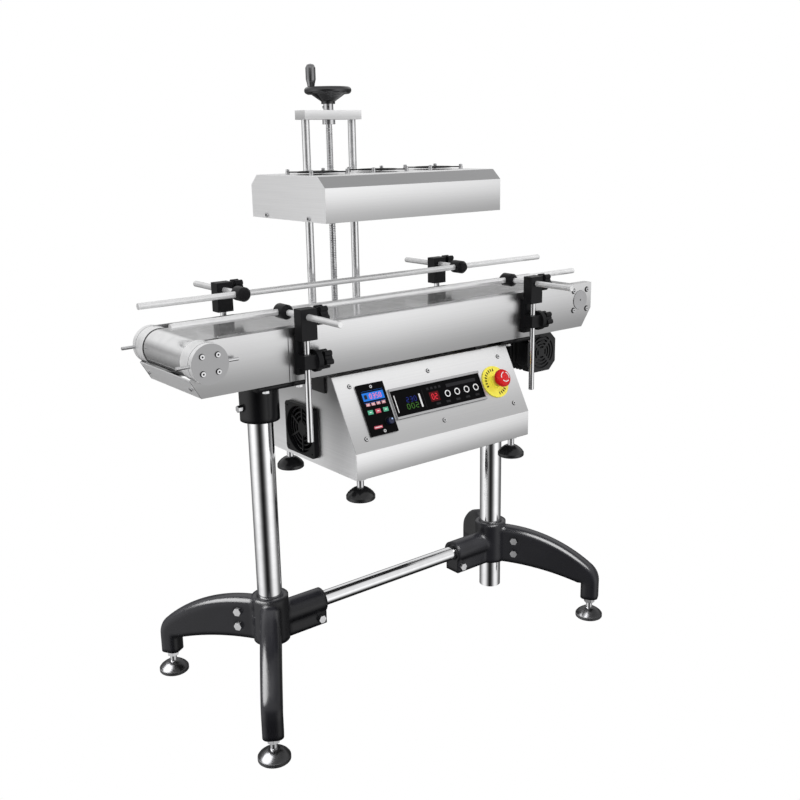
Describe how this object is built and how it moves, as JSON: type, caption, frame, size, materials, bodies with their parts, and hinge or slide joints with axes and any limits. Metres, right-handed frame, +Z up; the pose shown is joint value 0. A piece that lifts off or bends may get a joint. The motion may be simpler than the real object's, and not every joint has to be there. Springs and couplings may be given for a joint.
{
  "type": "induction cap sealer",
  "caption": "Belt conveyor on a two-leg floor stand with a crank-lifted induction sealing head, bottle guide rails and a sloped control box.",
  "frame": {"origin": "on the floor below the middle of the machine", "axes": "+X along the belt to its drive end, +Y to the rear, +Z up"},
  "size_m": [1.052, 0.4746, 1.2496],
  "materials": {
    "black_nylon": "satin moulded nylon",
    "polished_tube": "polished stainless tube",
    "guide_rod_steel": "ground steel rod",
    "brushed_stainless": "fine brushed stainless sheet",
    "grey_alloy": "turned light alloy",
    "screw_steel": "plated fasteners",
    "foot_steel": "dark plated levelling foot",
    "grey_belt": "smooth grey belt",
    "black_plastic": "moulded black plastic",
    "black_iron": "black painted motor",
    "guard_wire": "black coated guard",
    "black_rubber": "rubber feet",
    "copper_winding": "copper winding",
    "yellow_plastic": "yellow plate",
    "red_plastic": "red mushroom head",
    "dial_plastic": "pale dial"
  },
  "bodies": {
    "stand": {"left_base": "black_nylon", "right_base": "black_nylon", "cross_tube": "polished_tube", "stand_bolts": "screw_steel", "levelling_feet": "foot_steel"},
    "machine": {"leg_tubes": "polished_tube", "leg_heads": "black_nylon", "front_side_rail": "brushed_stainless", "rear_side_rail": "brushed_stainless", "slider_bed": "grey_alloy", "conveyor_belt": "grey_belt", "tail_caps": "grey_alloy", "tail_guard_plate": "brushed_stainless", "bearing_plates": "grey_alloy", "machine_screws": "screw_steel", "gear_motor": "black_iron", "motor_fan_cover": "black_plastic", "mounting_brackets": "black_plastic", "drive_chain": "screw_steel", "chain_guard": "brushed_stainless", "control_box": "brushed_stainless", "control_panel": "brushed_stainless", "power_module": "grey_alloy", "speed_controller": "black_plastic", "display_unit": "black_plastic", "estop_plate": "yellow_plastic", "box_fan_guard": "black_plastic", "box_feet": "black_rubber", "guide_posts": "polished_tube", "bridge_plate": "grey_alloy", "guide_brackets": "black_plastic"},
    "tail_drum": {"tail_roller": "grey_alloy"},
    "drive_drum": {"drive_roller": "grey_alloy"},
    "motor_output": {"motor_sprocket": "screw_steel"},
    "box_fan": {"box_fan_rotor": "black_plastic"},
    "speed_dial": {"speed_knob": "dial_plastic"},
    "stop_plunger": {"estop_plunger": "black_plastic"},
    "stop_button": {"estop_head": "red_plastic"},
    "lifting_screw": {"lead_screw": "screw_steel", "handwheel": "black_plastic"},
    "grip": {"crank_grip": "black_plastic"},
    "sealing_head": {"head_cover": "brushed_stainless", "head_base": "grey_alloy", "induction_coil": "copper_winding", "lift_carriage": "grey_alloy", "fan_frames": "black_plastic", "fan_guards": "guard_wire", "head_screws": "screw_steel"},
    "head_fan_1": {"fan_rotor_1": "black_plastic"},
    "head_fan_2": {"fan_rotor_2": "black_plastic"},
    "head_fan_3": {"fan_rotor_3": "black_plastic"},
    "front_guide": {"front_uprights": "guide_rod_steel", "front_cross_blocks": "black_plastic"},
    "front_rail": {"front_rail_clamps": "black_plastic", "front_guide_rods": "guide_rod_steel"},
    "rear_guide": {"rear_uprights": "guide_rod_steel", "rear_cross_blocks": "black_plastic"},
    "rear_rail": {"rear_rail_clamps": "black_plastic", "rear_guide_rods": "guide_rod_steel"}
  },
  "joints": [
    {"name": "stand_height", "type": "slide", "parent": "stand", "child": "machine", "axis": [0, 0, 1], "range_m": [-0.035, 0.06]},
    {"name": "drive_spin", "type": "hinge", "parent": "machine", "child": "drive_drum", "pos_m": [0.4885, 0, 0.7375], "axis": [0, 1, 0], "continuous": true},
    {"name": "tail_spin", "type": "hinge", "parent": "machine", "child": "tail_drum", "pos_m": [-0.465, 0, 0.7375], "axis": [0, 1, 0], "continuous": true},
    {"name": "motor_spin", "type": "hinge", "parent": "machine", "child": "motor_output", "pos_m": [0.412, 0.12, 0.619], "axis": [0, 1, 0], "continuous": true},
    {"name": "screw_turn", "type": "hinge", "parent": "machine", "child": "lifting_screw", "pos_m": [-0.04575, 0.112, 1.1], "axis": [0, 0, 1], "range_deg": [-7570, 5410]},
    {"name": "head_lift", "type": "slide", "parent": "machine", "child": "sealing_head", "axis": [0, 0, 1], "range_m": [-0.105, 0.075]},
    {"name": "grip_spin", "type": "hinge", "parent": "lifting_screw", "child": "grip", "pos_m": [-0.07727, 0.12474, 1.22], "axis": [0, 0, 1], "continuous": true},
    {"name": "head_fan_1_spin", "type": "hinge", "parent": "sealing_head", "child": "head_fan_1", "pos_m": [-0.144, 0.0135, 1.02], "axis": [0, 0, 1], "continuous": true},
    {"name": "head_fan_2_spin", "type": "hinge", "parent": "sealing_head", "child": "head_fan_2", "pos_m": [0.001, 0.0135, 1.02], "axis": [0, 0, 1], "continuous": true},
    {"name": "head_fan_3_spin", "type": "hinge", "parent": "sealing_head", "child": "head_fan_3", "pos_m": [0.146, 0.0135, 1.02], "axis": [0, 0, 1], "continuous": true},
    {"name": "box_fan_spin", "type": "hinge", "parent": "machine", "child": "box_fan", "pos_m": [-0.19, 0.017, 0.54], "axis": [1, 0, 0], "continuous": true},
    {"name": "speed_turn", "type": "hinge", "parent": "machine", "child": "speed_dial", "pos_m": [-0.104, -0.14084, 0.56978], "axis": [0, -0.8761, 0.4821], "range_deg": [-135, 135]},
    {"name": "stop_press", "type": "slide", "parent": "machine", "child": "stop_plunger", "axis": [0, 0.8761, -0.4821], "range_m": [0, 0.005], "stiffness_N_per_m": 400, "springref_m": -0.003},
    {"name": "stop_twist", "type": "hinge", "parent": "stop_plunger", "child": "stop_button", "pos_m": [0.197, -0.1259, 0.59694], "axis": [0, -0.8761, 0.4821], "range_deg": [0, 30]},
    {"name": "front_guide_height", "type": "slide", "parent": "machine", "child": "front_guide", "axis": [0, 0, 1], "range_m": [-0.006, 0.03]},
    {"name": "front_guide_reach", "type": "slide", "parent": "front_guide", "child": "front_rail", "axis": [0, 1, 0], "range_m": [-0.035, 0.03]},
    {"name": "rear_guide_height", "type": "slide", "parent": "machine", "child": "rear_guide", "axis": [0, 0, 1], "range_m": [-0.031, 0.015]},
    {"name": "rear_guide_reach", "type": "slide", "parent": "rear_guide", "child": "rear_rail", "axis": [0, 1, 0], "range_m": [-0.03, 0.035]}
  ],
  "couplings": [
    {"joint": "tail_spin", "follows": "drive_spin", "ratio": 1},
    {"joint": "motor_spin", "follows": "drive_spin", "ratio": 1},
    {"joint": "screw_turn", "follows": "head_lift", "rad_per_m": 1256.6}
  ]
}
